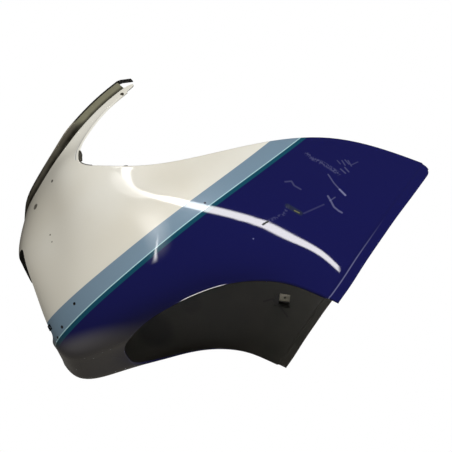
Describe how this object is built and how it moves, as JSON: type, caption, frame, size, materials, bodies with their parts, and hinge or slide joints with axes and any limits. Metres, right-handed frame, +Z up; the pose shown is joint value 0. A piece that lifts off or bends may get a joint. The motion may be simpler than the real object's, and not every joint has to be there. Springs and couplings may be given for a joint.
{
  "type": "motorcycle fairing",
  "caption": "Upper fairing of a sport motorcycle: one-piece moulded shell with screen arms, lamp opening, wheel arch, rubber edgings and clip nuts.",
  "frame": {"origin": "under the middle of the length, on the mirror plane, at the height of the lowest points (the two rear lower corners and the underside of the chin)", "axes": "+Z up, +Y to the rear of the motorcycle, the nose at -Y, +X the rider's left; X = 0 is the mirror plane"},
  "size_m": [0.5514, 0.8654, 0.6154],
  "materials": {
    "paint": "moulded ABS, sprayed pearl white with grey-blue, teal and deep blue stripes under gloss lacquer, bare black-olive inside",
    "rubber": "matt black extruded rubber",
    "black_plastic": "matt black moulded plastic",
    "zinc_steel": "zinc plated spring steel",
    "blackened_steel": "blackened spring steel"
  },
  "bodies": {
    "root": {"fairing_shell": "paint", "screen_edge_rubber": "rubber", "left_notch_rubber": "rubber", "right_notch_rubber": "rubber", "left_rear_bracket": "black_plastic", "right_rear_bracket": "black_plastic", "left_rear_clip_nut": "zinc_steel", "right_rear_clip_nut": "zinc_steel", "left_lamp_clip_nut": "blackened_steel", "right_lamp_clip_nut": "blackened_steel"}
  },
  "joints": []
}
